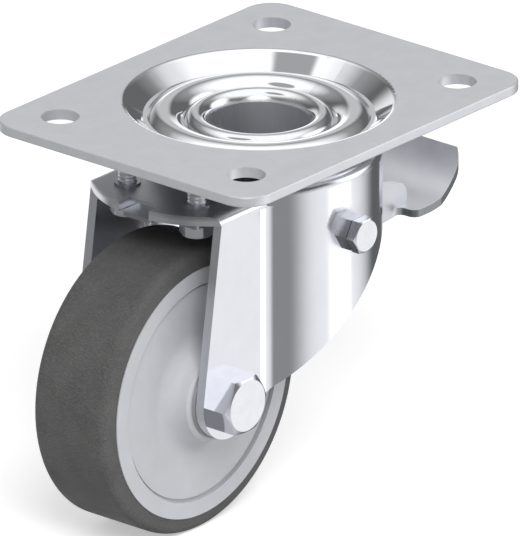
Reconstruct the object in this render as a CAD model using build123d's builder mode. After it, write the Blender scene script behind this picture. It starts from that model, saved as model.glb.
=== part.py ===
from build123d import *
import math
import os

# Braked swivel caster: top plate with a pressed ball race, pressed steel fork, treaded wheel,
# foot pedal with a brake pad, and a flat brake spring bolted under the fork's crown.
# The origin is the centre of the plate's top face, on the swivel axis. +Z is up. The wheel
# trails towards -X, its axle lies along Y, and the pedal points towards +X.
# All sizes are in millimetres.

# Clearances
race_gap = 0.15
running_gap = 0.05
seat_gap = 0.1
side_gap = 0.3
slot_gap = 0.15

# Top plate
plate_length = 140.0
plate_width = 110.0
plate_thickness = 3.5
plate_corner = 10.0
plate_edge_round = 0.6
bolt_spacing_x = 105.0
bolt_spacing_y = 77.5
bolt_hole_r = 6.25
dish_rim_r = 43.5
dish_wall_r = 37.2
dish_depth = 5.2
dish_lip_round = 2.4

# Upper ball race, between the plate and the crown
upper_race_r = 30.7
upper_ball_r = 4.0
upper_ball_z = -11.1
upper_ball_count = 18
race_wall = 3.75

# Hollow rivet that holds the head together
rivet_bore_r = 16.5
rivet_wall = 2.8
rivet_flange_rise = 2.5
rivet_lip_drop = 0.9
rivet_seat_z = -6.6
rivet_flare = 3.2
rivet_flare_thickness = 2.0

# Lower ball race, between the crown and the race cup
lower_race_r = 26.5
lower_ball_r = 2.5
lower_ball_count = 24
lower_ball_drop = 1.5
cup_outer_r = 31.0
cup_thickness = 2.4
cup_inner_z = -20.7

# Fork
sheet = 3.2
head_r = 39.6
head_top_z = -14.4
head_bend = 3.4
shelf_top_z = -17.9
leg_outer_y = 27.3
leg_flute_r = 8.0
leg_end_r = 13.0
leg_top_x = -51.0
leg_rear_slope = 38.0
crown_front_x = -62.5
crown_corner_x = -54.1
crown_corner_y = 23.9
crown_hole_r = 22.0
crown_notch_width = 12.4
crown_notch_depth = 5.8
pedal_window_width = 46.0
pedal_window_top_z = -26.0

# Wheel
wheel_x = -47.0
wheel_z = -82.0
tyre_r = 47.8
tyre_half_width = 15.6
tyre_lean = 1.0
tyre_round = 3.0
tread_root_r = 40.4
tread_root_half = 12.5
hub_disc_r = 24.5
rim_r = 42.2
rim_half_width = 15.95
rim_ring_r = 36.8
groove_r = 35.8
groove_depth = 0.6
web_half_width = 14.9
web_blend_r = 7.0
boss_r = 15.0
boss_taper = 1.4
boss_half_width = 22.6
boss_round = 0.8

# Roller bearing in the hub
sleeve_r = 8.0
roller_r = 1.2
roller_count = 12
roller_length = 36.0
cage_end = 2.0
cage_side_gap = 0.4
seal_r = 13.4

# Axle bolt and nut
axle_r = 6.0
axle_across_flats = 18.0
axle_head_height = 7.5
axle_nut_height = 8.0
axle_collar_r = 11.0
axle_collar_thickness = 2.5
axle_tip = 1.5

# Pedal lever
pivot_x = -2.7
pivot_z = -34.2
pivot_bolt_r = 3.0
pivot_tube_r = 5.0
pivot_across_flats = 10.8
pivot_head_height = 3.4
pivot_collar_across_flats = 10.4
pivot_collar_thickness = 4.1
pivot_nut_height = 6.0
pivot_tip = 1.5
lever_sheet = 2.5
lever_outer_y = 20.0
lever_eye_r = 6.5
lever_heel_x = 37.6
lever_heel_z = -37.7
lever_heel_r = 1.0
lever_tail_x = 44.5
lever_tail_z = -43.2
lever_tail_r = 5.6
lever_foot_x = 38.0
lever_foot_z = -49.6
lever_web_z = -46.0
lever_web_front_x = 3.0
foot_start_x = 46.0
foot_wide_end_x = 59.0
foot_half_width = 27.0
foot_tip_half_width = 21.5
foot_corner = 3.0
foot_tip_corner = 11.0
foot_bend_x = 52.0
foot_bend_r = 31.5
foot_bend_angle = 50.0

# Brake pad on the lever
pad_gap = 0.5
pad_front_x = -9.4
pad_top_z = -42.5

# Brake spring under the crown
spring_sheet = 1.5
spring_tongue_x = -61.3
spring_front_x = -56.0
spring_bend_x = -42.5
spring_low_x = -33.5
spring_tongue_half_width = 5.8
spring_waist_start_x = -38.0
spring_waist_end_x = -12.0
spring_end_x = 2.0
spring_half_width = 21.0
spring_waist_half_width = 12.0
spring_corner = 2.5

# Screws that hold the brake spring
screw_x = -48.0
screw_y = 14.5
screw_r = 3.0
screw_across_flats = 10.0
screw_head_height = 4.0
screw_tip_height = 4.2
screw_pitch = 1.2
screw_thread_depth = 0.5
screw_lip_r = 4.3
screw_lip_height = 0.7
washer_r = 5.2
washer_thickness = 1.2

# Worked-out levels
dish_floor_z = -dish_depth
race_groove_r = upper_ball_r + race_gap
ridge_r = race_groove_r + race_wall
rivet_outer_r = rivet_bore_r + rivet_wall
crown_under_z = head_top_z - sheet
shelf_under_z = shelf_top_z - sheet
lower_ball_z = crown_under_z - lower_ball_drop
lower_groove_r = lower_ball_r + race_gap
cup_clamp_z = cup_inner_z - cup_thickness
rivet_bottom_z = cup_clamp_z - rivet_flare_thickness
leg_inner_y = leg_outer_y - sheet
head_inner_r = head_r - sheet
hub_bore_r = sleeve_r + 2 * roller_r + 2 * running_gap
roller_pitch_r = sleeve_r + running_gap + roller_r
spring_under_z = pivot_z + lever_eye_r + side_gap
spring_low_z = spring_under_z + spring_sheet
washer_top_z = shelf_under_z - spring_sheet
screw_head_z = washer_top_z - washer_thickness
foot_tip_x = foot_bend_x + (foot_bend_r + lever_sheet) * math.sin(math.radians(foot_bend_angle))
pad_face_r = math.hypot(pivot_x - wheel_x, pivot_z - wheel_z) - tyre_r - pad_gap
tube_bore_r = pivot_bolt_r + seat_gap
form_depth = shelf_top_z - wheel_z + 2 * leg_end_r
form_front_x = crown_front_x - sheet

wheel_section = Plane(origin=(wheel_x, 0, wheel_z), x_dir=(0, 1, 0), z_dir=(1, 0, 0))
wheel_axis = Axis((wheel_x, 0, wheel_z), (0, 1, 0))

os.makedirs("parts", exist_ok=True)


def cross_plane(x, y, z, side):
    """A plane across the Y axis, facing +Y when side is 1 and -Y when side is -1."""
    return Plane(origin=(x, y, z), x_dir=(1, 0, 0), z_dir=(0, side, 0))


def hex_head(plane, across_flats, height):
    """A hexagon standing on the plane, with the corners of its outer face turned off."""
    corner_r = across_flats / math.sqrt(3)
    face_r = 0.475 * across_flats
    drop = (corner_r - face_r) * math.tan(math.radians(30))
    section = Plane(origin=plane.origin, x_dir=plane.x_dir, z_dir=plane.y_dir * -1)
    with BuildPart() as head:
        with BuildSketch(section):
            with BuildLine():
                Polyline(
                    (0, 0),
                    (corner_r, 0),
                    (corner_r, height - drop),
                    (face_r, height),
                    (0, height),
                    close=True,
                )
            make_face()
        revolve(axis=Axis(plane.origin, plane.z_dir))
        with BuildSketch(plane):
            RegularPolygon(across_flats / 2, 6, major_radius=False)
        extrude(amount=height, mode=Mode.INTERSECT)
    return head.part


def ring(plane, outer_r, inner_r, length):
    """A plain ring standing on the plane."""
    with BuildPart() as tube:
        with BuildSketch(plane):
            Circle(outer_r)
            Circle(inner_r, mode=Mode.SUBTRACT)
        extrude(amount=length)
    return tube.part


# Top plate: the flat part with its four holes, and the pressed dish with a ball race under its ridge
dish_join_r = dish_rim_r + 2.5
ridge_floor = math.sqrt(ridge_r**2 - (dish_floor_z - upper_ball_z) ** 2)
ridge_inner = math.sqrt(ridge_r**2 - (rivet_seat_z - upper_ball_z) ** 2)
plate_seat_under_z = rivet_seat_z - plate_thickness
groove_half = math.sqrt(race_groove_r**2 - (plate_seat_under_z - upper_ball_z) ** 2)
rivet_flange_r = upper_race_r - ridge_inner - seat_gap

with BuildPart() as top_plate:
    with BuildSketch(Plane.XY):
        RectangleRounded(plate_length, plate_width, plate_corner)
        Circle(dish_join_r, mode=Mode.SUBTRACT)
        with GridLocations(bolt_spacing_x, bolt_spacing_y, 2, 2):
            Circle(bolt_hole_r, mode=Mode.SUBTRACT)
    extrude(amount=-plate_thickness)
    flat_faces = top_plate.faces().filter_by(Axis.Z)
    for face in flat_faces:
        fillet(face.outer_wire().edges(), plate_edge_round)
    with BuildSketch(Plane.XZ) as dish_section:
        with BuildLine():
            Polyline((upper_race_r - ridge_inner, rivet_seat_z), (rivet_outer_r + seat_gap, rivet_seat_z))
            Line(
                (rivet_outer_r + seat_gap, rivet_seat_z),
                (rivet_outer_r + seat_gap, plate_seat_under_z),
            )
            Line(
                (rivet_outer_r + seat_gap, plate_seat_under_z),
                (upper_race_r - groove_half, plate_seat_under_z),
            )
            ThreePointArc(
                (upper_race_r - groove_half, plate_seat_under_z),
                (upper_race_r, upper_ball_z + race_groove_r),
                (upper_race_r + groove_half, plate_seat_under_z),
            )
            Polyline(
                (upper_race_r + groove_half, plate_seat_under_z),
                (upper_race_r + groove_half + 1.2, plate_seat_under_z),
                (dish_rim_r + 0.7, -plate_thickness),
                (dish_join_r, -plate_thickness),
                (dish_join_r, 0),
                (dish_rim_r, 0),
                (dish_wall_r, dish_floor_z),
                (upper_race_r + ridge_floor, dish_floor_z),
            )
            ThreePointArc(
                (upper_race_r + ridge_floor, dish_floor_z),
                (upper_race_r, upper_ball_z + ridge_r),
                (upper_race_r - ridge_inner, rivet_seat_z),
            )
        make_face()
        lip = dish_section.vertices().filter_by(
            lambda v: abs(v.X - dish_rim_r) < 0.01 and abs(v.Y) < 0.01
        )
        fillet(lip, dish_lip_round)
    revolve(axis=Axis.Z)
top_plate.part.label = "top_plate"
export_step(top_plate.part, "parts/top_plate.step")

# Hollow rivet: domed flange on the plate, tube through the crown, flared foot under the race cup
with BuildPart() as king_rivet:
    with BuildSketch(Plane.XZ):
        with BuildLine():
            ThreePointArc(
                (rivet_flange_r, rivet_seat_z),
                ((rivet_flange_r + rivet_bore_r) / 2, rivet_seat_z + rivet_flange_rise),
                (rivet_bore_r, rivet_seat_z - rivet_lip_drop),
            )
            Polyline(
                (rivet_bore_r, rivet_seat_z - rivet_lip_drop),
                (rivet_bore_r, rivet_bottom_z),
                (rivet_outer_r + rivet_flare, rivet_bottom_z),
                (rivet_outer_r + rivet_flare, cup_clamp_z),
                (rivet_outer_r, cup_clamp_z),
                (rivet_outer_r, rivet_seat_z),
                (rivet_flange_r, rivet_seat_z),
            )
        make_face()
    revolve(axis=Axis.Z)
king_rivet.part.label = "king_rivet"
export_step(king_rivet.part, "parts/king_rivet.step")

# Race cup under the crown, held by the rivet
cup_lip_z = crown_under_z - 2 * side_gap
cup_half_chord = math.sqrt(lower_groove_r**2 - (cup_inner_z - lower_ball_z) ** 2)
cup_lip_chord = math.sqrt(lower_groove_r**2 - (cup_lip_z - lower_ball_z) ** 2)
cup_floor_z = lower_ball_z - lower_groove_r - cup_thickness

with BuildPart() as race_cup:
    with BuildSketch(Plane.XZ):
        with BuildLine():
            Line(
                (rivet_outer_r + seat_gap, cup_inner_z),
                (lower_race_r - cup_half_chord, cup_inner_z),
            )
            ThreePointArc(
                (lower_race_r - cup_half_chord, cup_inner_z),
                (lower_race_r, lower_ball_z - lower_groove_r),
                (lower_race_r + cup_lip_chord, cup_lip_z),
            )
            Polyline(
                (lower_race_r + cup_lip_chord, cup_lip_z),
                (cup_outer_r, cup_lip_z),
                (cup_outer_r, cup_floor_z + 1.2),
                (cup_outer_r - 1.2, cup_floor_z),
                (rivet_outer_r + rivet_flare + 1.2, cup_floor_z),
                (rivet_outer_r + rivet_flare + 1.2, cup_clamp_z),
                (rivet_outer_r + seat_gap, cup_clamp_z),
                (rivet_outer_r + seat_gap, cup_inner_z),
            )
        make_face()
    revolve(axis=Axis.Z)
race_cup.part.label = "race_cup"
export_step(race_cup.part, "parts/race_cup.step")

# Balls of the two races
with BuildPart() as upper_balls:
    with Locations((0, 0, upper_ball_z)):
        with PolarLocations(upper_race_r, upper_ball_count):
            Sphere(upper_ball_r)
upper_balls.part.label = "upper_balls"
export_step(upper_balls.part, "parts/upper_balls.step")

with BuildPart() as lower_balls:
    with Locations((0, 0, lower_ball_z)):
        with PolarLocations(lower_race_r, lower_ball_count):
            Sphere(lower_ball_r)
lower_balls.part.label = "lower_balls"
export_step(lower_balls.part, "parts/lower_balls.step")


# Fork: one sheet, with a round head over two flat legs
def fork_form(inset):
    """The fork's closed form, with every outside face moved in by the inset."""
    side = leg_outer_y - inset
    radius = head_r - inset
    length = inset - form_front_x
    with BuildPart() as round_head:
        with BuildSketch(Plane.XY.offset(head_top_z - inset)):
            Circle(radius)
        extrude(amount=-form_depth)
        fillet(round_head.faces().sort_by(Axis.Z)[-1].edges(), head_bend - inset)
    with BuildPart() as form:
        add(round_head.part)
        with BuildSketch(Plane.XY.offset(shelf_top_z - head_bend - inset)) as plan:
            Circle(radius)
            with Locations((-length / 2, 0)):
                Rectangle(length, 2 * side)
            corners = plan.vertices().filter_by(lambda v: 1 < -v.X < radius)
            fillet(corners, leg_flute_r + inset)
        extrude(amount=-form_depth)
        with BuildSketch(Plane.YZ.offset(-length)) as section:
            with Locations((0, shelf_top_z - inset - form_depth / 2)):
                Rectangle(2 * side, form_depth)
            fillet(section.vertices().group_by(Axis.Y)[-1], head_bend - inset)
        extrude(amount=length)
    return form.part


leg_rise = shelf_under_z - wheel_z
leg_set = leg_top_x - wheel_x
front_angle = math.atan2(leg_rise, leg_set) + math.acos(leg_end_r / math.hypot(leg_set, leg_rise))
front_touch_x = wheel_x + leg_end_r * math.cos(front_angle)
front_touch_z = wheel_z + leg_end_r * math.sin(front_angle)
rear_slope = math.radians(leg_rear_slope)
rear_touch_x = wheel_x + leg_end_r * math.sin(rear_slope)
rear_touch_z = wheel_z - leg_end_r * math.cos(rear_slope)
rear_far_x = head_r + sheet
rear_far_z = rear_touch_z + (rear_far_x - rear_touch_x) * math.tan(rear_slope)
outer_form = fork_form(0)
inner_form = fork_form(sheet)

with BuildPart() as fork:
    add(outer_form)
    add(inner_form, mode=Mode.SUBTRACT)
    with BuildSketch(Plane.XZ):
        with BuildLine():
            Polyline(
                (rear_far_x, rear_far_z),
                (rear_far_x, 0),
                (form_front_x, 0),
                (form_front_x, shelf_under_z),
                (leg_top_x, shelf_under_z),
                (front_touch_x, front_touch_z),
            )
            ThreePointArc(
                (front_touch_x, front_touch_z),
                (wheel_x, wheel_z - leg_end_r),
                (rear_touch_x, rear_touch_z),
            )
            Line((rear_touch_x, rear_touch_z), (rear_far_x, rear_far_z))
        make_face()
    extrude(amount=head_r, both=True, mode=Mode.INTERSECT)
    with BuildSketch(Plane.XY):
        with BuildLine():
            ThreePointArc(
                (crown_corner_x, crown_corner_y),
                (crown_front_x, 0),
                (crown_corner_x, -crown_corner_y),
            )
            Polyline(
                (crown_corner_x, -crown_corner_y),
                (leg_top_x, -leg_outer_y - side_gap),
                (form_front_x - sheet, -leg_outer_y - side_gap),
                (form_front_x - sheet, leg_outer_y + side_gap),
                (leg_top_x, leg_outer_y + side_gap),
                (crown_corner_x, crown_corner_y),
            )
        make_face()
        with Locations((crown_front_x, 0)):
            Rectangle(2 * crown_notch_depth, crown_notch_width)
        Circle(crown_hole_r)
    extrude(amount=shelf_under_z, mode=Mode.SUBTRACT)
    with BuildSketch(Plane.XZ):
        with Locations((upper_race_r, upper_ball_z)):
            Circle(race_groove_r)
        with Locations((lower_race_r, lower_ball_z)):
            Circle(lower_groove_r)
    revolve(axis=Axis.Z, mode=Mode.SUBTRACT)
    with BuildSketch(Plane.XY.offset(pedal_window_top_z)):
        with Locations((head_r, 0)):
            Rectangle(head_r, pedal_window_width)
    extrude(amount=-form_depth, mode=Mode.SUBTRACT)
    with BuildSketch(Plane.XZ):
        with Locations((wheel_x, wheel_z)):
            Circle(axle_r + seat_gap)
        with Locations((pivot_x, pivot_z)):
            Circle(pivot_bolt_r + seat_gap)
    extrude(amount=head_r, both=True, mode=Mode.SUBTRACT)
    with BuildSketch(Plane.XY.offset(shelf_top_z)):
        with Locations((screw_x, 0)):
            with GridLocations(1, 2 * screw_y, 1, 2):
                Circle(screw_lip_r)
    extrude(amount=screw_lip_height)
    with BuildSketch(Plane.XY.offset(shelf_top_z + screw_lip_height)):
        with Locations((screw_x, 0)):
            with GridLocations(1, 2 * screw_y, 1, 2):
                Circle(screw_r + seat_gap)
    extrude(amount=-sheet - screw_lip_height, mode=Mode.SUBTRACT)
fork.part.label = "fork"
export_step(fork.part, "parts/fork.step")

# Wheel: tread and centre share the stepped seat between them
seat_points = [
    (0, tread_root_r),
    (tread_root_half, tread_root_r),
    (tread_root_half, rim_r),
    (tyre_half_width, rim_r),
]

with BuildPart() as tyre:
    with BuildSketch(wheel_section):
        with BuildLine():
            Polyline(*seat_points)
            FilletPolyline(
                (tyre_half_width, rim_r),
                (tyre_half_width - tyre_lean, tyre_r),
                (0, tyre_r),
                radius=tyre_round,
            )
            Line((0, tyre_r), (0, tread_root_r))
        make_face()
        mirror(about=Plane.YZ)
    revolve(axis=wheel_axis)
tyre.part.label = "tyre"
export_step(tyre.part, "parts/tyre.step")

with BuildPart() as wheel_centre:
    with BuildSketch(wheel_section):
        with BuildLine():
            Polyline(*seat_points)
            Polyline(
                (tyre_half_width, rim_r),
                (rim_half_width, rim_r),
                (rim_half_width, rim_ring_r),
                (web_half_width - groove_depth, rim_ring_r),
                (web_half_width - groove_depth, groove_r),
                (web_half_width, groove_r),
            )
            Polyline(
                (web_half_width, groove_r),
                (web_half_width, hub_disc_r),
                (0, hub_disc_r),
                (0, tread_root_r),
            )
        make_face()
        mirror(about=Plane.YZ)
    revolve(axis=wheel_axis)
wheel_centre.part.label = "wheel_centre"
export_step(wheel_centre.part, "parts/wheel_centre.step")

# The hub is moulded in one with the centre, and is kept as a node of its own
with BuildPart() as wheel_hub:
    with BuildSketch(wheel_section):
        with BuildLine():
            Line((0, hub_disc_r), (web_half_width, hub_disc_r))
            FilletPolyline(
                (web_half_width, hub_disc_r),
                (web_half_width, boss_r + boss_taper),
                (boss_half_width - boss_round, boss_r),
                radius=web_blend_r,
            )
            Polyline(
                (boss_half_width - boss_round, boss_r),
                (boss_half_width, boss_r - boss_round),
                (boss_half_width, hub_bore_r),
                (0, hub_bore_r),
                (0, hub_disc_r),
            )
        make_face()
        mirror(about=Plane.YZ)
    revolve(axis=wheel_axis)
wheel_hub.part.label = "wheel_hub"
export_step(wheel_hub.part, "parts/wheel_hub.step")

# Roller bearing between the hub and the sleeve on the axle
cage_half = roller_length / 2 + cage_end
cage_tube = ring(
    cross_plane(wheel_x, -cage_half, wheel_z, 1),
    hub_bore_r - cage_side_gap,
    sleeve_r + cage_side_gap,
    2 * cage_half,
)

with BuildPart() as roller_cage:
    add(cage_tube)
    with BuildSketch(cross_plane(wheel_x, -roller_length / 2 - slot_gap, wheel_z, 1)):
        with PolarLocations(roller_pitch_r, roller_count):
            Rectangle(4 * roller_r, 2 * (roller_r + slot_gap))
    extrude(amount=roller_length + 2 * slot_gap, mode=Mode.SUBTRACT)
roller_cage.part.label = "roller_cage"
export_step(roller_cage.part, "parts/roller_cage.step")

with BuildPart() as rollers:
    with BuildSketch(cross_plane(wheel_x, -roller_length / 2, wheel_z, 1)):
        with PolarLocations(roller_pitch_r, roller_count):
            Circle(roller_r)
    extrude(amount=roller_length)
rollers.part.label = "rollers"
export_step(rollers.part, "parts/rollers.step")

seal_thickness = leg_inner_y - side_gap - boss_half_width

with BuildPart() as hub_seal_near:
    with BuildSketch(cross_plane(wheel_x, -boss_half_width, wheel_z, -1)):
        Circle(seal_r)
        Circle(sleeve_r + side_gap, mode=Mode.SUBTRACT)
    extrude(amount=seal_thickness)
hub_seal_near.part.label = "hub_seal_near"
export_step(hub_seal_near.part, "parts/hub_seal_near.step")

with BuildPart() as hub_seal_far:
    with BuildSketch(cross_plane(wheel_x, boss_half_width, wheel_z, 1)):
        Circle(seal_r)
        Circle(sleeve_r + side_gap, mode=Mode.SUBTRACT)
    extrude(amount=seal_thickness)
hub_seal_far.part.label = "hub_seal_far"
export_step(hub_seal_far.part, "parts/hub_seal_far.step")

# Axle: a sleeve between the legs, a hexagon bolt and its collar nut
sleeve_half = leg_inner_y - running_gap

with BuildPart() as axle_sleeve:
    with BuildSketch(cross_plane(wheel_x, -sleeve_half, wheel_z, 1)):
        Circle(sleeve_r)
        Circle(axle_r + seat_gap, mode=Mode.SUBTRACT)
    extrude(amount=2 * sleeve_half)
axle_sleeve.part.label = "axle_sleeve"
export_step(axle_sleeve.part, "parts/axle_sleeve.step")

axle_head = hex_head(
    cross_plane(wheel_x, -leg_outer_y, wheel_z, -1), axle_across_flats, axle_head_height
)
axle_length = 2 * leg_outer_y + axle_collar_thickness + axle_nut_height + axle_tip

with BuildPart() as axle_bolt:
    with BuildSketch(cross_plane(wheel_x, -leg_outer_y, wheel_z, 1)):
        Circle(axle_r)
    extrude(amount=axle_length)
    chamfer(axle_bolt.faces().sort_by(Axis.Y)[-1].edges(), axle_tip / 2)
    add(axle_head)
axle_bolt.part.label = "axle_bolt"
export_step(axle_bolt.part, "parts/axle_bolt.step")

axle_nut_hex = hex_head(
    cross_plane(wheel_x, leg_outer_y + axle_collar_thickness, wheel_z, 1),
    axle_across_flats,
    axle_nut_height,
)

with BuildPart() as axle_nut:
    add(axle_nut_hex)
    with BuildSketch(cross_plane(wheel_x, leg_outer_y, wheel_z, 1)):
        Circle(axle_collar_r)
    extrude(amount=axle_collar_thickness)
    with BuildSketch(cross_plane(wheel_x, leg_outer_y, wheel_z, 1)):
        Circle(axle_r + running_gap)
    extrude(amount=axle_collar_thickness + axle_nut_height, mode=Mode.SUBTRACT)
axle_nut.part.label = "axle_nut"
export_step(axle_nut.part, "parts/axle_nut.step")

# Pedal: a curved foot plate that narrows into a channel with two cheeks
foot_angle = math.radians(foot_bend_angle)
foot_centre_z = lever_web_z + foot_bend_r
foot_under_r = foot_bend_r + lever_sheet


def foot_point(radius, angle):
    """A point on the foot's bend, at an angle from straight down."""
    return (foot_bend_x + radius * math.sin(angle), foot_centre_z - radius * math.cos(angle))


with BuildPart() as pedal:
    with BuildSketch(Plane.XZ):
        with BuildLine():
            Line((lever_web_front_x, lever_web_z), (foot_bend_x, lever_web_z))
            ThreePointArc(
                (foot_bend_x, lever_web_z),
                foot_point(foot_bend_r, foot_angle / 2),
                foot_point(foot_bend_r, foot_angle),
            )
            Line(foot_point(foot_bend_r, foot_angle), foot_point(foot_under_r, foot_angle))
            ThreePointArc(
                foot_point(foot_under_r, foot_angle),
                foot_point(foot_under_r, foot_angle / 2),
                (foot_bend_x, lever_web_z - lever_sheet),
            )
            Polyline(
                (foot_bend_x, lever_web_z - lever_sheet),
                (lever_web_front_x, lever_web_z - lever_sheet),
                (lever_web_front_x, lever_web_z),
            )
        make_face()
    extrude(amount=foot_half_width, both=True)
    with BuildSketch(Plane.XY) as foot_plan:
        with BuildLine():
            Polyline(
                (lever_web_front_x, -lever_outer_y),
                (foot_start_x, -lever_outer_y),
                (foot_start_x, -foot_half_width),
                (foot_wide_end_x, -foot_half_width),
                (foot_tip_x, -foot_tip_half_width),
                (foot_tip_x, foot_tip_half_width),
                (foot_wide_end_x, foot_half_width),
                (foot_start_x, foot_half_width),
                (foot_start_x, lever_outer_y),
                (lever_web_front_x, lever_outer_y),
                close=True,
            )
        make_face()
        plan_corners = foot_plan.vertices().group_by(Axis.X)
        fillet(plan_corners[1] + plan_corners[2], foot_corner)
        tip_corners = foot_plan.vertices().group_by(Axis.X)[-1]
        fillet(tip_corners, foot_tip_corner)
    extrude(amount=2 * lever_foot_z, mode=Mode.INTERSECT)
    for start in (-lever_outer_y, lever_outer_y - lever_sheet):
        with BuildSketch(Plane.XZ.offset(start)):
            with Locations((pivot_x, pivot_z)):
                Circle(lever_eye_r)
            with Locations((lever_heel_x, lever_heel_z)):
                Circle(lever_heel_r)
            with Locations((lever_tail_x, lever_tail_z)):
                Circle(lever_tail_r)
            with Locations(
                (lever_foot_x - lever_heel_r, lever_foot_z + lever_heel_r),
                (lever_web_front_x + lever_heel_r, lever_foot_z + lever_heel_r),
            ):
                Circle(lever_heel_r)
            make_hull()
            with Locations((pivot_x, pivot_z)):
                Circle(pivot_tube_r + running_gap, mode=Mode.SUBTRACT)
        extrude(amount=lever_sheet)
pedal.part.label = "pedal"
export_step(pedal.part, "parts/pedal.step")

# Brake pad: its face is part of a circle about the pivot, so it stops just short of the tread
with BuildPart() as brake_pad:
    with BuildSketch(Plane.XZ):
        with Locations((pivot_x, pivot_z)):
            Circle(pad_face_r)
        with Locations((pad_front_x, pad_top_z)):
            Rectangle(
                lever_web_front_x - pad_front_x,
                2 * pad_face_r,
                align=(Align.MIN, Align.MAX),
                mode=Mode.INTERSECT,
            )
    extrude(amount=lever_outer_y - lever_sheet, both=True)
brake_pad.part.label = "brake_pad"
export_step(brake_pad.part, "parts/brake_pad.step")

# Pivot of the pedal: a tube between the fork's walls, a bolt through it, a collar on each side
tube_half = math.sqrt(head_inner_r**2 - (abs(pivot_x) + pivot_tube_r) ** 2) - running_gap

with BuildPart() as pivot_tube:
    with BuildSketch(cross_plane(pivot_x, -tube_half, pivot_z, 1)):
        Circle(pivot_tube_r)
        Circle(tube_bore_r, mode=Mode.SUBTRACT)
    extrude(amount=2 * tube_half)
pivot_tube.part.label = "pivot_tube"
export_step(pivot_tube.part, "parts/pivot_tube.step")


def pivot_collar(side):
    """A hexagon collar whose inner end follows the round head of the fork."""
    body = hex_head(
        cross_plane(pivot_x, side * head_inner_r, pivot_z, side),
        pivot_collar_across_flats,
        sheet + pivot_collar_thickness,
    )
    with BuildPart() as collar:
        add(body)
        with BuildSketch(Plane.XY):
            Circle(head_r)
        extrude(amount=-form_depth, mode=Mode.SUBTRACT)
        with BuildSketch(cross_plane(pivot_x, 0, pivot_z, side)):
            Circle(tube_bore_r)
        extrude(amount=head_r + 2 * pivot_collar_thickness, mode=Mode.SUBTRACT)
    return collar


pivot_collar_near = pivot_collar(-1)
pivot_collar_near.part.label = "pivot_collar_near"
export_step(pivot_collar_near.part, "parts/pivot_collar_near.step")

pivot_collar_far = pivot_collar(1)
pivot_collar_far.part.label = "pivot_collar_far"
export_step(pivot_collar_far.part, "parts/pivot_collar_far.step")

collar_face_y = head_r + pivot_collar_thickness
pivot_head = hex_head(
    cross_plane(pivot_x, -collar_face_y, pivot_z, -1), pivot_across_flats, pivot_head_height
)

with BuildPart() as pivot_bolt:
    with BuildSketch(cross_plane(pivot_x, -collar_face_y, pivot_z, 1)):
        Circle(pivot_bolt_r)
    extrude(amount=2 * collar_face_y + pivot_nut_height + pivot_tip)
    chamfer(pivot_bolt.faces().sort_by(Axis.Y)[-1].edges(), pivot_tip / 2)
    add(pivot_head)
pivot_bolt.part.label = "pivot_bolt"
export_step(pivot_bolt.part, "parts/pivot_bolt.step")

pivot_nut_hex = hex_head(
    cross_plane(pivot_x, collar_face_y, pivot_z, 1), pivot_across_flats, pivot_nut_height
)

with BuildPart() as pivot_nut:
    add(pivot_nut_hex)
    with BuildSketch(cross_plane(pivot_x, collar_face_y, pivot_z, 1)):
        Circle(pivot_bolt_r + running_gap)
    extrude(amount=pivot_nut_height, mode=Mode.SUBTRACT)
pivot_nut.part.label = "pivot_nut"
export_step(pivot_nut.part, "parts/pivot_nut.step")

# Brake spring: a leaf that steps down from the shelf to run over the eyes of the pedal
with BuildPart() as brake_spring:
    with BuildSketch(Plane.XZ):
        with BuildLine():
            Polyline(
                (spring_tongue_x, shelf_under_z),
                (spring_bend_x, shelf_under_z),
                (spring_low_x, spring_low_z),
                (spring_end_x, spring_low_z),
                (spring_end_x, spring_under_z),
                (spring_low_x, spring_under_z),
                (spring_bend_x, shelf_under_z - spring_sheet),
                (spring_tongue_x, shelf_under_z - spring_sheet),
                close=True,
            )
        make_face()
    extrude(amount=spring_half_width, both=True)
    with BuildSketch(Plane.XY) as spring_plan:
        with BuildLine():
            Polyline(
                (spring_tongue_x, spring_tongue_half_width),
                (spring_front_x, spring_tongue_half_width),
                (spring_front_x, spring_half_width),
                (spring_bend_x, spring_half_width),
                (spring_waist_start_x, spring_waist_half_width),
                (spring_waist_end_x, spring_waist_half_width),
                (spring_waist_end_x, spring_half_width),
                (spring_end_x, spring_half_width),
                (spring_end_x, -spring_half_width),
                (spring_waist_end_x, -spring_half_width),
                (spring_waist_end_x, -spring_waist_half_width),
                (spring_waist_start_x, -spring_waist_half_width),
                (spring_bend_x, -spring_half_width),
                (spring_front_x, -spring_half_width),
                (spring_front_x, -spring_tongue_half_width),
                (spring_tongue_x, -spring_tongue_half_width),
                close=True,
            )
        make_face()
        fillet(spring_plan.vertices(), spring_corner / 2)
        with Locations((screw_x, 0)):
            with GridLocations(1, 2 * screw_y, 1, 2):
                Circle(screw_r + seat_gap, mode=Mode.SUBTRACT)
    extrude(amount=-form_depth, mode=Mode.INTERSECT)
brake_spring.part.label = "brake_spring"
export_step(brake_spring.part, "parts/brake_spring.step")


def spring_screw(y):
    """A screw with its head below the spring and its thread standing out of the shelf."""
    head = hex_head(
        Plane(origin=(screw_x, y, screw_head_z), x_dir=(1, 0, 0), z_dir=(0, 0, -1)),
        screw_across_flats,
        screw_head_height,
    )
    with BuildPart() as screw:
        with BuildSketch(Plane(origin=(screw_x, y, screw_head_z))):
            Circle(screw_r)
        extrude(amount=shelf_top_z + screw_tip_height - screw_head_z)
        chamfer(screw.faces().sort_by(Axis.Z)[-1].edges(), screw_r / 5)
        for turn in (1, 2):
            groove_z = shelf_top_z + screw_tip_height - turn * screw_pitch
            with BuildSketch(cross_plane(screw_x, y, groove_z, -1)):
                with BuildLine():
                    Polyline(
                        (screw_r + seat_gap, screw_pitch / 2),
                        (screw_r - screw_thread_depth, 0),
                        (screw_r + seat_gap, -screw_pitch / 2),
                        close=True,
                    )
                make_face()
            revolve(axis=Axis((screw_x, y, 0), (0, 0, 1)), mode=Mode.SUBTRACT)
        add(head)
    return screw


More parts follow.
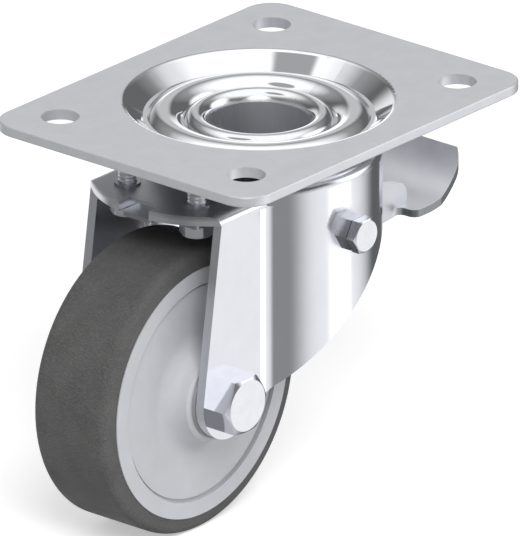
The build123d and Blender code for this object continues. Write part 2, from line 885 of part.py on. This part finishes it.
def spring_washer(y):
    """A flat washer between the spring and the screw's head."""
    with BuildPart() as washer:
        with BuildSketch(Plane(origin=(screw_x, y, screw_head_z))):
            Circle(washer_r)
            Circle(screw_r + seat_gap, mode=Mode.SUBTRACT)
        extrude(amount=washer_thickness)
    return washer


spring_screw_near = spring_screw(-screw_y)
spring_screw_near.part.label = "spring_screw_near"
export_step(spring_screw_near.part, "parts/spring_screw_near.step")

spring_screw_far = spring_screw(screw_y)
spring_screw_far.part.label = "spring_screw_far"
export_step(spring_screw_far.part, "parts/spring_screw_far.step")

spring_washer_near = spring_washer(-screw_y)
spring_washer_near.part.label = "spring_washer_near"
export_step(spring_washer_near.part, "parts/spring_washer_near.step")

spring_washer_far = spring_washer(screw_y)
spring_washer_far.part.label = "spring_washer_far"
export_step(spring_washer_far.part, "parts/spring_washer_far.step")
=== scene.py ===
import math

import bpy
from mathutils import Matrix, Vector


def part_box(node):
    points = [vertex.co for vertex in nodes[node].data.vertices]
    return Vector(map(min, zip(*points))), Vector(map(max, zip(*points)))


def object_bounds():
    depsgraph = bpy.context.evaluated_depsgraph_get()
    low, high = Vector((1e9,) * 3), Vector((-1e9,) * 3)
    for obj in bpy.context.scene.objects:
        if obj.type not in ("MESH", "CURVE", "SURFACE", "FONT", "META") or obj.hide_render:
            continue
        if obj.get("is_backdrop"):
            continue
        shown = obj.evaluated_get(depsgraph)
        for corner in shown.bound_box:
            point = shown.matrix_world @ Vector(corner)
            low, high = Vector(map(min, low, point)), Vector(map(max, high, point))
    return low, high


# Braked swivel caster, dressed for a plain white studio.
# Everything is in metres, in the same frame as the solids. +Z is up.

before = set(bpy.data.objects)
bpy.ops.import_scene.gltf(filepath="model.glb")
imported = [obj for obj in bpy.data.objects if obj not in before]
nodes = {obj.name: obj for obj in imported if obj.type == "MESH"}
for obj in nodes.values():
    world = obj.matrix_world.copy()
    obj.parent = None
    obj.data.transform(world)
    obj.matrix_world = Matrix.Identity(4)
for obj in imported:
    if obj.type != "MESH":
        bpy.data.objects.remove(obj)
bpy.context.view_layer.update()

# Tints of the greys
COOL = (0.93, 0.945, 1.0)
PALE = (0.96, 0.975, 1.0)
WARM = (1.0, 0.985, 0.975)

# Most of a noise lies between these two values
NOISE_LOW = 0.3
NOISE_HIGH = 0.7

# Rolled grain of the sheet metal: its scale, and the height of its bumps
GRAIN_SCALE = 2600.0
GRAIN_HEIGHT = 0.00004

# Where the look of a piece changes. Each pair is where the change starts and ends.
# Radii from the swivel's axis
DISH_EDGE = (0.0440, 0.0446)
BORE_WALL = (0.0166, 0.0170)
SHELF_START = (0.0400, 0.0410)

# Heights
CROWN_TOP = (-0.0150, -0.0146)
SHELF_TOP = (-0.0196, -0.0184)
SHELF_UNDERSIDE = (-0.0215, -0.0212)

# Distances from the middle plane
collar_end = -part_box("pivot_collar_near")[0].y
LEG_INSIDE = (0.0242, 0.0246)
LEG_EDGE = (0.0236, 0.0240)
FOOT_SIDE = (0.0212, 0.0220)
# Where the painted shadow at the collars' outer ends starts and where it is full
COLLAR_CONTACT_SHADOW = (collar_end - 0.0006, collar_end - 0.0003)

# Distances from the pivot's axis, and places along X
pivot = sum(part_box("pivot_bolt"), Vector()) / 2
PRESSED_RING = (0.0065, 0.0105)
FOOT_FRONT = (0.0560, 0.0570)

# How far a face's normal points along an axis: a cut edge that faces the wheel, and a
# face that stands upright
FACES_WHEEL = (-0.97, -0.92)
STANDS_UPRIGHT = (0.35, 0.65)


class Nodes:
    """Builds one shader node tree, one short call per node."""

    def __init__(self, tree):
        self.tree = tree
        tree.nodes.clear()

    def add(self, kind, **inputs):
        node = self.tree.nodes.new(kind)
        for name, value in inputs.items():
            self.put(node.inputs[name.replace("_", " ")], value)
        return node

    def put(self, socket, value):
        if isinstance(value, bpy.types.NodeSocket):
            self.tree.links.new(value, socket)
        else:
            socket.default_value = value

    def math(self, operation, first, second=None):
        node = self.tree.nodes.new("ShaderNodeMath")
        node.operation = operation
        self.put(node.inputs[0], first)
        if second is not None:
            self.put(node.inputs[1], second)
        return node.outputs["Value"]

    def coordinates(self, kind):
        """A kind of texture coordinate, as its X, Y and Z."""
        where = self.tree.nodes.new("ShaderNodeTexCoord").outputs[kind]
        split = self.add("ShaderNodeSeparateXYZ", Vector=where)
        return split.outputs["X"], split.outputs["Y"], split.outputs["Z"]

    def distance(self, first, second):
        """The root of the sum of two squares."""
        first = self.math("POWER", first, 2.0)
        second = self.math("POWER", second, 2.0)
        return self.math("SQRT", self.math("ADD", first, second))

    def noise(self, scale, detail=3.0, roughness=0.5, stretch=(1, 1, 1)):
        """Noise whose lumps are about 1/scale metres across, squeezed along each axis."""
        where = self.tree.nodes.new("ShaderNodeTexCoord").outputs["Object"]
        place = self.add("ShaderNodeMapping", Vector=where, Scale=stretch)
        node = self.add(
            "ShaderNodeTexNoise",
            Vector=place.outputs["Vector"],
            Scale=scale,
            Detail=detail,
            Roughness=roughness,
        )
        return node.outputs["Fac"]

    def span(self, value, low, high, to_low, to_high):
        """Maps low..high onto to_low..to_high, held at both ends."""
        node = self.tree.nodes.new("ShaderNodeMapRange")
        self.tree.links.new(value, node.inputs["Value"])
        node.inputs["From Min"].default_value = low
        node.inputs["From Max"].default_value = high
        node.inputs["To Min"].default_value = to_low
        node.inputs["To Max"].default_value = to_high
        return node.outputs["Result"]

    def ease(self, noise, to_low=0.0, to_high=1.0):
        """Maps the range of a noise onto to_low..to_high."""
        return self.span(noise, NOISE_LOW, NOISE_HIGH, to_low, to_high)

    def after(self, value, edge):
        """0 before an edge and 1 after it."""
        return self.span(value, edge[0], edge[1], 0.0, 1.0)

    def before(self, value, edge):
        """1 before an edge and 0 after it."""
        return self.span(value, edge[0], edge[1], 1.0, 0.0)

    def blend(self, factor, first, second):
        """Mixes two colours."""
        node = self.tree.nodes.new("ShaderNodeMix")
        node.data_type = "RGBA"
        for name, value in (("Factor", factor), ("A", first), ("B", second)):
            self.put([s for s in node.inputs if s.name == name and s.enabled][0], value)
        return [s for s in node.outputs if s.enabled][0]

    def scaled(self, colour, factor):
        """A colour times a number."""
        node = self.tree.nodes.new("ShaderNodeVectorMath")
        node.operation = "SCALE"
        self.tree.links.new(colour, node.inputs[0])
        self.tree.links.new(factor, node.inputs["Scale"])
        return node.outputs["Vector"]

    def bump(self, height, strength, distance=GRAIN_HEIGHT):
        node = self.add("ShaderNodeBump", Strength=strength, Distance=distance, Height=height)
        return node.outputs["Normal"]

    def surface(self, shader):
        out = self.tree.nodes.new("ShaderNodeOutputMaterial")
        self.tree.links.new(shader, out.inputs["Surface"])

    def principled(self, colour, rough, normal=None, metal=0.0):
        """The material's surface, from its colour, roughness, bumps and metal."""
        shader = self.add(
            "ShaderNodeBsdfPrincipled", Base_Color=colour, Roughness=rough, Metallic=metal
        )
        if normal is not None:
            self.put(shader.inputs["Normal"], normal)
        self.surface(shader.outputs["BSDF"])


def grey(value, tint=(1.0, 1.0, 1.0)):
    """A colour of the given lightness with a slight tint."""
    return (value * tint[0], value * tint[1], value * tint[2], 1.0)


def new_material(name):
    material = bpy.data.materials.new(name)
    material.use_nodes = True
    return material, Nodes(material.node_tree)


def zinc(name, light, rough, cloud=0.06, cloud_scale=120.0, grain=0.25):
    """Bright zinc plating: soft clouds in tone and gloss over a fine rolled grain."""
    material, tree = new_material(name)
    clouds = tree.noise(cloud_scale, 4.0, 0.6)
    fine = tree.noise(GRAIN_SCALE, 2.0)
    dark_cloud = grey(light * (1.0 - cloud), COOL)
    pale_cloud = grey(min(1.0, light * (1.0 + cloud)), COOL)
    tree.principled(
        colour=tree.blend(tree.ease(clouds), dark_cloud, pale_cloud),
        rough=tree.ease(clouds, rough * 0.85, rough * 1.2),
        normal=tree.bump(fine, grain),
        metal=1.0,
    )
    return material


def fork_zinc(name, light):
    """The fork's sheet: bright where it is drawn, satin on its flats and its cut edges, with
    painted shade on the tops of the crown and the shelf.
    """
    material, tree = new_material(name)
    clouds = tree.noise(90.0, 4.0, 0.6)
    fine = tree.noise(GRAIN_SCALE, 2.0)
    drawn = tree.noise(260.0, roughness=0.6, stretch=(1.0, 1.0, 0.06))
    x, y, height = tree.coordinates("Object")
    half_width = tree.math("ABSOLUTE", y)

    # Dulled by the press round the pivot
    from_pivot = tree.distance(
        tree.math("SUBTRACT", x, pivot.x), tree.math("SUBTRACT", height, pivot.z)
    )
    pressed = tree.math("MULTIPLY", tree.before(from_pivot, PRESSED_RING), 0.22)

    # Tops of the shelf and the crown, and the legs' inner faces
    past_head = tree.after(tree.distance(x, y), SHELF_START)
    shelf = tree.math("MULTIPLY", tree.after(height, SHELF_TOP), past_head)
    top = tree.math("MAXIMUM", shelf, tree.after(height, CROWN_TOP))
    inside = tree.math(
        "MULTIPLY", tree.before(half_width, LEG_INSIDE), tree.before(height, SHELF_UNDERSIDE)
    )

    # Cut edges that face the wheel
    front = tree.before(tree.coordinates("Normal")[0], FACES_WHEEL)
    sheared = tree.math("MULTIPLY", front, tree.after(half_width, LEG_EDGE))

    # Painted shade under the plate: the tops of the crown and the shelf are darkened towards
    # about half the sheet's lightness, less so on faces towards the wheel
    shade = tree.math("MULTIPLY", top, tree.span(front, 0.0, 1.0, 1.0, 0.4))
    worked = tree.math("MAXIMUM", tree.math("MAXIMUM", top, inside), sheared)
    dull = tree.math("MULTIPLY", worked, 0.3)
    gloss = tree.span(drawn, 0.35, 0.65, 0.085, 0.13)
    bright = tree.blend(tree.ease(clouds), grey(light * 0.975, COOL), grey(light * 1.02, COOL))
    tree.principled(
        colour=tree.blend(shade, bright, grey(light * 0.52, COOL)),
        rough=tree.math("ADD", tree.math("ADD", gloss, dull), pressed),
        normal=tree.bump(fine, 0.08, 0.00003),
        metal=1.0,
    )
    return material


def pressed_plate(name, light):
    """The top plate: satin zinc outside the dish, and bright where the press has drawn it."""
    material, tree = new_material(name)
    clouds = tree.noise(140.0, 4.0, 0.6)
    fine = tree.noise(GRAIN_SCALE, 2.0)
    rolled = tree.noise(30.0, roughness=0.6, stretch=(1.0, 6.0, 1.0))
    x, y, _ = tree.coordinates("Object")
    outside = tree.after(tree.distance(x, y), DISH_EDGE)
    tone = tree.math("MULTIPLY", tree.ease(clouds), outside)
    streak = tree.math("MULTIPLY", tree.span(rolled, 0.35, 0.65, 0.0, 0.5), outside)
    worn = tree.math("MULTIPLY", tree.math("ADD", tone, streak), 0.66)
    clean = tree.blend(outside, grey(0.92, PALE), grey(light * 1.02, COOL))
    satin = tree.math("MULTIPLY", tree.ease(clouds, 0.26, 0.33), outside)
    tree.principled(
        colour=tree.blend(worn, clean, grey(light * 0.95, COOL)),
        rough=tree.math("ADD", satin, 0.05),
        normal=tree.bump(tree.math("MULTIPLY", fine, outside), 0.2),
        metal=tree.span(outside, 0.0, 1.0, 1.0, 0.45),
    )
    return material


def turned_rivet(name, light):
    """The king rivet: polished outside, and satin down its bore."""
    material, tree = new_material(name)
    turning = tree.noise(900.0, stretch=(1.0, 1.0, 0.1))
    x, y, _ = tree.coordinates("Object")
    bore = tree.before(tree.distance(x, y), BORE_WALL)
    satin = tree.math("MULTIPLY", tree.ease(turning, 0.26, 0.40), bore)
    tree.principled(
        colour=tree.blend(tree.ease(turning), grey(light, PALE), grey(light * 0.95, PALE)),
        rough=tree.math("ADD", satin, 0.06),
        metal=1.0,
    )
    return material


def pedal_sheet(name, light):
    """The pedal's sheet: pale on top, with painted shade on the upright cheeks and a darker
    painted shade along the foot's upright cut rim.
    """
    material, tree = new_material(name)
    clouds = tree.noise(120.0, 4.0, 0.6)
    fine = tree.noise(GRAIN_SCALE, 2.0)
    x, y, _ = tree.coordinates("Object")
    upright = tree.before(tree.math("ABSOLUTE", tree.coordinates("Normal")[2]), STANDS_UPRIGHT)
    beside = tree.after(tree.math("ABSOLUTE", y), FOOT_SIDE)
    foot = tree.math("MAXIMUM", beside, tree.after(x, FOOT_FRONT))
    rim = tree.math("MULTIPLY", upright, foot)
    # Painted shade: faces that stand upright (the cheeks) are darkened to 70 % of the top's
    # lightness, and the upright faces of the foot's rim to 30 %
    face = tree.blend(upright, grey(light, COOL), grey(light * 0.70, COOL))
    colour = tree.blend(rim, face, grey(light * 0.30, COOL))
    tree.principled(
        colour=tree.scaled(colour, tree.ease(clouds, 0.96, 1.03)),
        rough=tree.ease(clouds, 0.30, 0.42),
        normal=tree.bump(fine, 0.2),
        metal=0.8,
    )
    return material


def tread_rubber(name):
    """Dark brownish grey rubber: a leathery pebbled skin with pale and dark specks."""
    material, tree = new_material(name)
    broad = tree.noise(90.0, roughness=0.6)
    speck = tree.noise(2300.0, 2.0, 0.75)
    pebble = tree.noise(1900.0, 4.0, 0.6, (1.0, 0.45, 1.0))
    skin = tree.math("ADD", pebble, tree.math("MULTIPLY", speck, 0.25))
    base = tree.blend(tree.ease(broad), grey(0.092, WARM), grey(0.118, WARM))
    pale = tree.blend(tree.span(pebble, 0.50, 0.70, 0.0, 0.35), base, grey(0.20, WARM))
    tree.principled(
        colour=tree.blend(tree.span(pebble, 0.52, 0.30, 0.0, 0.30), pale, grey(0.05, WARM)),
        rough=tree.span(pebble, 0.35, 0.65, 0.50, 0.66),
        normal=tree.bump(skin, 1.0, 0.00060),
    )
    return material


def moulded(name, light, rough, tint=PALE, grain=0.12):
    """Moulded plastic with a faint flow pattern and a fine skin."""
    material, tree = new_material(name)
    flow = tree.noise(70.0, roughness=0.55)
    skin = tree.noise(1800.0, 2.0)
    tree.principled(
        colour=tree.blend(tree.ease(flow), grey(light * 0.95, tint), grey(light * 1.04, tint)),
        rough=tree.ease(flow, rough * 0.9, rough * 1.1),
        normal=tree.bump(skin, grain, 0.00006),
    )
    return material


def collar_zinc(name, light):
    """The pivot's collars: a painted shadow line, nearly black, where the bolt's head or nut sits
    on them.
    """
    material, tree = new_material(name)
    out = tree.math("ABSOLUTE", tree.coordinates("Object")[1])
    # Painted shadow: each collar's outer end, where the head or nut sits, goes nearly black over
    # its last 0.6 mm
    painted_contact_shadow = tree.after(out, COLLAR_CONTACT_SHADOW)
    cloud = tree.ease(tree.noise(300.0, roughness=0.6))
    worn = tree.blend(cloud, grey(light * 0.94, COOL), grey(light * 1.03, COOL))
    tree.principled(
        colour=tree.blend(painted_contact_shadow, worn, grey(0.03, COOL)),
        rough=tree.span(cloud, 0.0, 1.0, 0.12, 0.17),
        metal=1.0,
    )
    return material


sheet_zinc = zinc("sheet_zinc", light=0.82, rough=0.22, cloud=0.025, cloud_scale=90.0, grain=0.12)
fastener_zinc = zinc(
    "fastener_zinc", light=0.84, rough=0.12, cloud=0.03, cloud_scale=300.0, grain=0.1
)
screw_zinc = zinc("screw_zinc", light=0.88, rough=0.36, cloud=0.03, cloud_scale=400.0, grain=0.1)
spring_steel = zinc("spring_steel", light=0.42, rough=0.36, cloud=0.10, cloud_scale=220.0)
ball_steel = zinc("ball_steel", light=0.72, rough=0.08, cloud=0.02, cloud_scale=300.0, grain=0.05)
collar = collar_zinc("collar_zinc", light=0.70)
centre_plastic = moulded("centre_plastic", light=0.545, rough=0.40, tint=COOL)
seal_plastic = moulded("seal_plastic", light=0.30, rough=0.5, tint=COOL)

dress = {
    "top_plate": pressed_plate("plate_zinc", light=0.665),
    "king_rivet": turned_rivet("rivet_zinc", light=0.90),
    "race_cup": sheet_zinc,
    "upper_balls": ball_steel,
    "lower_balls": ball_steel,
    "fork": fork_zinc("leg_zinc", light=0.80),
    "tyre": tread_rubber("tread_rubber"),
    "wheel_centre": centre_plastic,
    "wheel_hub": centre_plastic,
    "roller_cage": moulded("dark_plastic", light=0.035, rough=0.5),
    "rollers": ball_steel,
    "hub_seal_near": seal_plastic,
    "hub_seal_far": seal_plastic,
    "axle_sleeve": fastener_zinc,
    "axle_bolt": fastener_zinc,
    "axle_nut": fastener_zinc,
    "pedal": pedal_sheet("pedal_zinc", light=0.97),
    "brake_pad": moulded("pad_rubber", light=0.02, rough=0.7, tint=WARM, grain=0.5),
    "pivot_tube": fastener_zinc,
    "pivot_collar_near": collar,
    "pivot_collar_far": collar,
    "pivot_bolt": fastener_zinc,
    "pivot_nut": fastener_zinc,
    "brake_spring": spring_steel,
    "spring_screw_near": screw_zinc,
    "spring_screw_far": screw_zinc,
    "spring_washer_near": fastener_zinc,
    "spring_washer_far": fastener_zinc,
}
for name, node in nodes.items():
    mesh = node.data
    if not mesh.materials:
        mesh.materials.append(dress[name])
    for index in range(len(mesh.materials)):
        mesh.materials[index] = dress[name]

scene = bpy.context.scene

# Floor: pale, white to the camera, and it keeps the caster's shadow
FLOOR_REACH = 4.0
FLOOR_PAPER = 0.86
FLOOR_GLOW = 0.42

floor_mesh = bpy.data.meshes.new("floor")
corners = [(-1, -1), (1, -1), (1, 1), (-1, 1)]
floor_mesh.from_pydata(
    [(FLOOR_REACH * x, FLOOR_REACH * y, 0) for x, y in corners], [], [(0, 1, 2, 3)]
)
floor = bpy.data.objects.new("floor", floor_mesh)
floor.location.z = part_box("tyre")[0].z
scene.collection.objects.link(floor)
floor_material, tree = new_material("floor_white")
path = tree.tree.nodes.new("ShaderNodeLightPath")
seen = tree.math("MAXIMUM", path.outputs["Is Camera Ray"], path.outputs["Is Transmission Ray"])
paper = tree.add("ShaderNodeBsdfDiffuse", Color=grey(FLOOR_PAPER))
glow = tree.add(
    "ShaderNodeEmission", Color=grey(1.0), Strength=tree.math("MULTIPLY", seen, FLOOR_GLOW)
)
both = tree.tree.nodes.new("ShaderNodeAddShader")
tree.tree.links.new(paper.outputs[0], both.inputs[0])
tree.tree.links.new(glow.outputs[0], both.inputs[1])
tree.surface(both.outputs[0])
floor_mesh.materials.append(floor_material)
floor.visible_glossy = False
floor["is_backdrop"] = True

# World: white behind the object, and a soft studio of panels in its reflections
STUDIO_LEVEL = 0.14
DIFFUSE_LEVEL = 0.48

# Two rises towards the ceiling: from which height of the direction to which, and how much
CEILING = (
    (0.40, 0.60, 0.18),
    (0.62, 0.84, 0.82),
)

# Round panels: direction, inner and outer angle in degrees, and how much each adds
PANELS = (
    # Low on the near side: the wide light along the fork's head, and its bright core
    ((0.46, -0.80, -0.38), 11, 49, 0.94),
    ((0.49, -0.79, -0.38), 10, 14.5, 0.45),
    # A slightly darker patch under them
    ((-0.04, -0.60, -0.80), 8, 24, -0.12),
    # Low on the far side, for the views from there
    ((0.45, 0.84, -0.30), 20, 42, 0.75),
    # Faint lights low on the wheel's side
    ((-0.57, -0.73, -0.38), 10, 45, 0.17),
    ((-0.78, 0.58, -0.24), 22, 55, 0.14),
    # Above the pedal's far side, opposite the photo's camera
    ((0.71, 0.60, 0.37), 5, 15, 0.42),
    # Two high windows, on the wheel's side and on the pedal's
    ((-0.68, -0.60, 0.43), 12, 30, 1.25),
    ((0.71, -0.60, 0.37), 12, 30, 1.25),
    # A dark gap overhead
    ((-0.27, 0.17, 0.95), 9, 13, -0.75),
    # Level with the object, opposite the photo's camera
    ((0.76, 0.64, 0.07), 7, 15, 0.75),
)

world = bpy.data.worlds.new("studio")
scene.world = world
world.use_nodes = True
sky = Nodes(world.node_tree)
facing = sky.tree.nodes.new("ShaderNodeTexCoord").outputs["Generated"]


def panel(direction, inner, outer, strength):
    """A soft round panel: full inside the inner angle and gone at the outer angle."""
    dot = sky.tree.nodes.new("ShaderNodeVectorMath")
    dot.operation = "DOT_PRODUCT"
    sky.tree.links.new(facing, dot.inputs[0])
    dot.inputs[1].default_value = Vector(direction).normalized()
    outer_cos = math.cos(math.radians(outer))
    inner_cos = math.cos(math.radians(inner))
    result = sky.span(dot.outputs["Value"], outer_cos, inner_cos, 0.0, strength)
    result.node.interpolation_type = "SMOOTHSTEP"
    return result


upward = sky.add("ShaderNodeSeparateXYZ", Vector=facing).outputs["Z"]
level = STUDIO_LEVEL
for low, high, strength in CEILING:
    level = sky.math("ADD", level, sky.span(upward, low, high, 0.0, strength))
for direction, inner, outer, strength in PANELS:
    level = sky.math("ADD", level, panel(direction, inner, outer, strength))
rays = sky.tree.nodes.new("ShaderNodeLightPath")
behind = sky.math("MAXIMUM", rays.outputs["Is Camera Ray"], rays.outputs["Is Transmission Ray"])
soft = sky.math("MULTIPLY", rays.outputs["Is Diffuse Ray"], DIFFUSE_LEVEL)
shiny = sky.math("MULTIPLY", rays.outputs["Is Glossy Ray"], level)
total = sky.math("ADD", sky.math("ADD", behind, soft), shiny)
background = sky.add("ShaderNodeBackground", Color=grey(1.0), Strength=total)
world_out = sky.tree.nodes.new("ShaderNodeOutputWorld")
sky.tree.links.new(background.outputs[0], world_out.inputs["Surface"])

LAMP_TARGET = Vector((0, 0, -0.06))


def lamp(name, place, size, power):
    """A square area lamp aimed at the caster's middle."""
    data = bpy.data.lights.new(name, "AREA")
    data.size = size
    data.energy = power
    light = bpy.data.objects.new(name, data)
    light.location = place
    light.rotation_mode = "QUATERNION"
    light.rotation_quaternion = (LAMP_TARGET - Vector(place)).to_track_quat("-Z", "Y")
    light.visible_glossy = False
    scene.collection.objects.link(light)


lamp("key", (-0.7, -0.8, 1.0), size=0.8, power=14.5)
lamp("fill", (0.9, -0.7, 0.5), size=0.9, power=3.5)

# Camera: the photo's parallel edges stay parallel, so a very long lens stands far away
VIEW_TURN = math.radians(-50)
VIEW_TILT = math.radians(22.05)
LENS = 1500.0
SENSOR = 36.0
IMAGE_HEIGHT = 0.17125
AIM_RIGHT = 0.00029
AIM_DOWN = 0.05403

flat = math.cos(VIEW_TILT)
back = Vector((math.sin(VIEW_TURN) * flat, -math.cos(VIEW_TURN) * flat, math.sin(VIEW_TILT)))
right = Vector((math.cos(VIEW_TURN), math.sin(VIEW_TURN), 0))
up = back.cross(right)
target = right * AIM_RIGHT - up * AIM_DOWN
place = target + back * (IMAGE_HEIGHT * LENS / SENSOR)
camera_data = bpy.data.cameras.new("camera")
camera_data.lens = LENS
camera_data.sensor_width = SENSOR
camera_data.clip_start = 0.1
camera_data.clip_end = 60.0
camera = bpy.data.objects.new("camera", camera_data)
camera.matrix_world = Matrix.Translation(place) @ Matrix(
    (
        (right.x, up.x, back.x, 0),
        (right.y, up.y, back.y, 0),
        (right.z, up.z, back.z, 0),
        (0, 0, 0, 1),
    )
)
scene.collection.objects.link(camera)
scene.camera = camera
scene.view_settings.view_transform = "Standard"

low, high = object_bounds()
